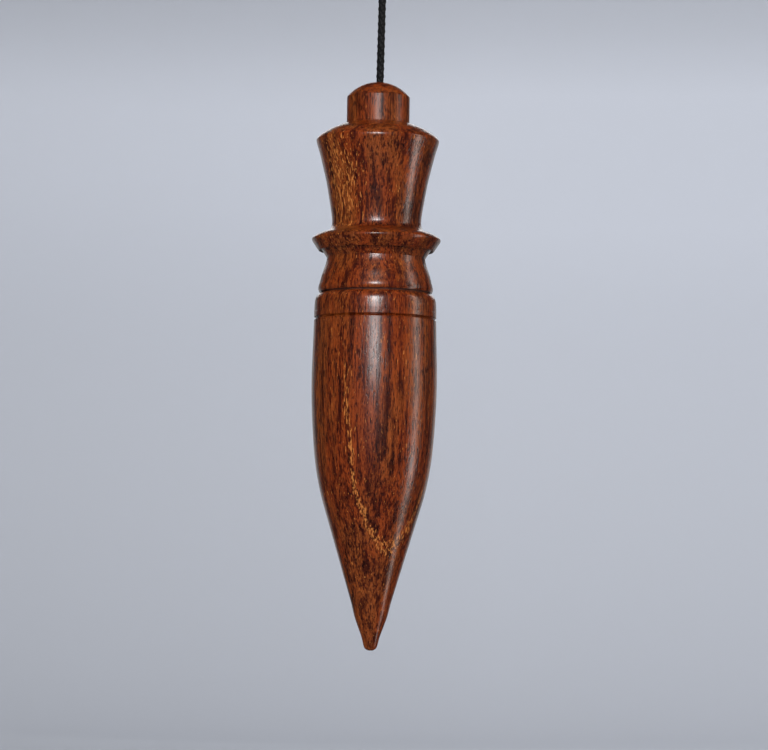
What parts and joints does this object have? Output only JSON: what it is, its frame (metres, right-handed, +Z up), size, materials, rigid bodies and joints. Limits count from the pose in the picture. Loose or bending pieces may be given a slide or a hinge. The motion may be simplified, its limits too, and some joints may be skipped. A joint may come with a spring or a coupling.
{
  "type": "plumb bob",
  "caption": "Turned and lacquered hardwood plumb bob that hangs point down on a thin black braided cord with a knotted loop.",
  "frame": {"origin": "inner top of the hanging loop, where the peg or hook that holds the bob would sit", "axes": "+Z up along the plumb line and the bob's turning axis, X across the loop, Y through the loop"},
  "size_m": [0.0272, 0.0272, 0.1698],
  "materials": {
    "cord": "round black braid, slightly glossy filaments",
    "lacquered_wood": "dark red-brown streaked hardwood under clear gloss lacquer",
    "brass": "turned, unlacquered",
    "leather": "thin dark washer",
    "felt": "pressed wool felt"
  },
  "bodies": {
    "loop_body": {"hanging_loop": "cord"},
    "knot_body": {"loop_knot": "cord"},
    "line_body": {"line": "cord", "stopper_knot": "cord", "knot_plate": "brass"},
    "cap_body": {"cap": "lacquered_wood", "cap_spigot": "brass"},
    "cap_seal_body": {"cap_seal": "leather"},
    "head_body": {"head": "lacquered_wood", "head_insert": "brass", "head_stud": "brass"},
    "body_seal_body": {"body_seal": "leather"},
    "bob_body": {"body": "lacquered_wood", "body_insert": "brass", "lower_pad": "felt", "ballast": "brass", "upper_pad": "felt"}
  },
  "joints": [
    {"name": "swing_side", "type": "hinge", "parent": "loop_body", "child": "knot_body", "pos_m": [0, 0, -0.02], "axis": [0, 1, 0], "range_deg": [-45, 45], "deforming": ["hanging_loop"]},
    {"name": "swing_fore", "type": "hinge", "parent": "knot_body", "child": "line_body", "pos_m": [0, 0, -0.0251], "axis": [1, 0, 0], "range_deg": [-45, 45], "deforming": ["line"]},
    {"name": "bob_spin", "type": "hinge", "parent": "line_body", "child": "cap_body", "pos_m": [0, 0, -0.05345], "axis": [0, 0, 1], "continuous": true},
    {"name": "cap_travel", "type": "slide", "parent": "cap_body", "child": "cap_seal_body", "axis": [0, 0, -1], "range_m": [0, 0.005]},
    {"name": "cap_turn", "type": "hinge", "parent": "cap_seal_body", "child": "head_body", "pos_m": [0, 0, -0.05695], "axis": [0, 0, -1], "range_deg": [0, 1800]},
    {"name": "body_travel", "type": "slide", "parent": "head_body", "child": "body_seal_body", "axis": [0, 0, -1], "range_m": [0, 0.0075]},
    {"name": "body_turn", "type": "hinge", "parent": "body_seal_body", "child": "bob_body", "pos_m": [0, 0, -0.09285], "axis": [0, 0, -1], "range_deg": [0, 1800]}
  ],
  "couplings": [
    {"joint": "cap_turn", "follows": "cap_travel", "rad_per_m": 6283.2},
    {"joint": "body_turn", "follows": "body_travel", "rad_per_m": 4188.8}
  ]
}
